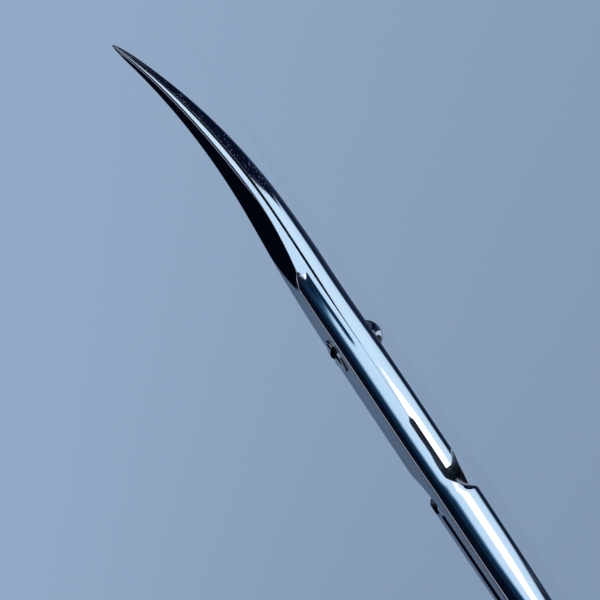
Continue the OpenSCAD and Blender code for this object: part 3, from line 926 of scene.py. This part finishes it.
    def surroundings(self, context):
        """Long strips of light and dark that run along the scissors, as a polished shape needs to read as steel."""
        world = bpy.data.worlds.new("studio")
        context.scene.world = world
        world.use_nodes = True
        tree = world.node_tree
        tree.nodes.clear()
        way = node(tree, "ShaderNodeTexCoord").outputs["Generated"]
        parts = node(tree, "ShaderNodeSeparateXYZ", Vector=way).outputs
        front = self.calc(tree, "MULTIPLY", parts["Y"], -1.0)
        angle = self.calc(tree, "ARCTAN2", parts["Z"], front)
        turned = self.share(tree, angle, -math.pi, math.pi, "LINEAR")
        strips = self.ramp(tree, turned, PLATE_STRIPS)
        # The strips that the blades' tips mirror lie further along.
        past = self.calc(tree, "SUBTRACT", parts["X"], self.ramp(tree, turned, TIP_EDGE))
        strips = self.over(tree, self.share(tree, past, -0.003, 0.003), strips, self.ramp(tree, turned, TIP_STRIPS))
        # Beyond both ends: dark near the horizon, softboxes above.
        height = self.share(tree, parts["Z"], -1.0, 1.0, "LINEAR")
        ends = self.ramp(tree, height, END_BOXES)
        back = self.ramp(tree, height, BACK_BOX)
        # Below, a pale card lies beside the middle; only the screw's dome and the plate's rear end mirror it.
        behind = self.calc(tree, "MULTIPLY", parts["X"], -1.0)
        past = self.calc(tree, "SUBTRACT", behind, self.ramp(tree, turned, LOW_CARD))
        strips = self.over(tree, self.share(tree, past, 0.0, 0.02), strips, self.ramp(tree, turned, LOW_STRIPS))
        past = self.calc(tree, "SUBTRACT", behind, self.ramp(tree, turned, BACK_EDGE))
        strips = self.over(tree, self.share(tree, past, 0.0, 0.05), strips, back)
        past = self.calc(tree, "SUBTRACT", parts["X"], self.ramp(tree, turned, FRONT_EDGE))
        whole = self.over(tree, self.share(tree, past, 0.0, 0.1), strips, ends)
        light = node(tree, "ShaderNodeBackground", Color=whole, Strength=WORLD_STRENGTH)
        plain = node(
            tree, "ShaderNodeBackground", Color=linear(context.scene.scissor_finish.floor), Strength=1.0
        )
        seen = node(tree, "ShaderNodeLightPath").outputs["Is Camera Ray"]
        both = node(tree, "ShaderNodeMixShader", i0=seen, i1=light.outputs[0], i2=plain.outputs[0])
        node(tree, "ShaderNodeOutputWorld", Surface=both.outputs[0])

    def calc(self, tree, operation, first, second):
        return node(tree, "ShaderNodeMath", {"operation": operation}, i0=first, i1=second).outputs[0]

    def share(self, tree, value, low, high, kind="SMOOTHSTEP"):
        """0 below low, 1 above high."""
        made = node(
            tree, "ShaderNodeMapRange", {"interpolation_type": kind}, Value=value, From_Min=low, From_Max=high
        )
        return made.outputs["Result"]

    def over(self, tree, share, below, above):
        return node(tree, "ShaderNodeMix", {"data_type": "RGBA"}, i0=share, i6=below, i7=above).outputs[2]

    def ramp(self, tree, turned, stops):
        """A ramp of colours or levels over angles round X (0 front horizon, 90 overhead) or over plain places."""
        made = node(tree, "ShaderNodeValToRGB", Fac=turned)
        elements = made.color_ramp.elements
        while len(elements) < len(stops):
            elements.new(0.5)
        for element, (place, _) in zip(elements, stops):
            element.position = (place + 180) / 360 if abs(stops[0][0]) > 1 else place
        for element, (_, level) in zip(elements, stops):
            element.color = linear(level) if isinstance(level, str) else (level, level, level, 1)
        return made.outputs["Color"]


WORLD_STRENGTH = 1.6
PLATE_STRIPS = [
    (-180, "#4A586E"),
    (-150, "#36435A"),
    (-100, "#161F32"),
    (-68, "#121C30"),
    (-58, "#B9D2EA"),
    (-30, "#C8DEF2"),
    (-12, "#C4DCF2"),
    (6, "#B8D3EC"),
    (11, "#3E6484"),
    (14, "#1B3A56"),
    (19, "#0C1C30"),
    (24, "#13283F"),
    (30, "#060D1C"),
    (80, "#060A14"),
    (86, "#8E93A4"),
    (116, "#8E93A4"),
    (120, "#02040C"),
    (163, "#02040C"),
    (168, "#45546A"),
    (180, "#4A5A6E"),
]
TIP_STRIPS = [
    (-180, "#0A1024"),
    (-7.6, "#080D20"),
    (-7, "#D2E6F8"),
    (7, "#D2E6F8"),
    (12, "#081024"),
    (70, "#050A18"),
    (76, "#86818E"),
    (128, "#86818E"),
    (134, "#0B0E1E"),
    (180, "#10142A"),
]
TIP_EDGE = [(-180, 0.16), (-50, 0.16), (-42, 0.183), (-35, 0.202), (-12, 0.228), (180, 0.232)]
BACK_EDGE = [(-180, 0.4), (-66, 0.4), (-61, 0.12), (-45, 0.16), (-27, 0.2), (-10, 0.16), (2, 0.16), (12, 0.4)]
FRONT_EDGE = [(-180, 0.38), (50, 0.38), (60, 0.85), (175, 0.85), (180, 0.45)]
LOW_CARD = [(-180, 2.0), (-150, 2.0), (-140, 0.14), (-70, 0.14), (-66, 2.0)]
LOW_STRIPS = [(-180, "#A9B6C4"), (0, "#A9B6C4")]
END_BOXES = [
    (0.0, "#303A48"),
    (0.3, "#39434A"),
    (0.45, "#20272C"),
    (0.62, "#20272C"),
    (0.78, "#DCE8F4"),
    (0.9, "#FFFFFF"),
    (1.0, "#8FA5C1"),
]
BACK_BOX = [
    (0.0, "#14181E"),
    (0.12, "#20262E"),
    (0.25, "#4A5560"),
    (0.42, "#1C2024"),
    (0.75, "#20272C"),
    (0.85, "#30383F"),
    (1.0, "#4A5560"),
]


class SCISSORS_PT_panel(bpy.types.Panel):
    """Sizes, colours and the operators in order"""

    bl_idname = "SCISSORS_PT_panel"
    bl_label = "Cuticle scissors"
    bl_space_type = "VIEW_3D"
    bl_region_type = "UI"
    bl_category = "Scissors"

    def draw(self, context):
        layout = self.layout
        for operator in OPERATORS:
            layout.operator(operator.bl_idname)
        for name in GROUPS:
            group = getattr(context.scene, name)
            box = layout.box()
            for key in group.__annotations__:
                box.prop(group, key)


OPERATORS = (SCISSORS_OT_studio, SCISSORS_OT_halves, SCISSORS_OT_screw)
GROUPS = {"scissor_sizes": ScissorSizes, "scissor_screw": ScrewSizes, "scissor_finish": Finish}


def register():
    for kind in (*GROUPS.values(), *OPERATORS, SCISSORS_PT_panel):
        bpy.utils.register_class(kind)
    for name, kind in GROUPS.items():
        setattr(bpy.types.Scene, name, bpy.props.PointerProperty(type=kind))


def unregister():
    for name in GROUPS:
        delattr(bpy.types.Scene, name)
    for kind in (SCISSORS_PT_panel, *reversed(OPERATORS), *reversed(GROUPS.values())):
        bpy.utils.unregister_class(kind)


def main():
    register()
    bpy.ops.scissors.studio()
    bpy.ops.scissors.halves()
    bpy.ops.scissors.screw()


if __name__ == "__main__":
    main()
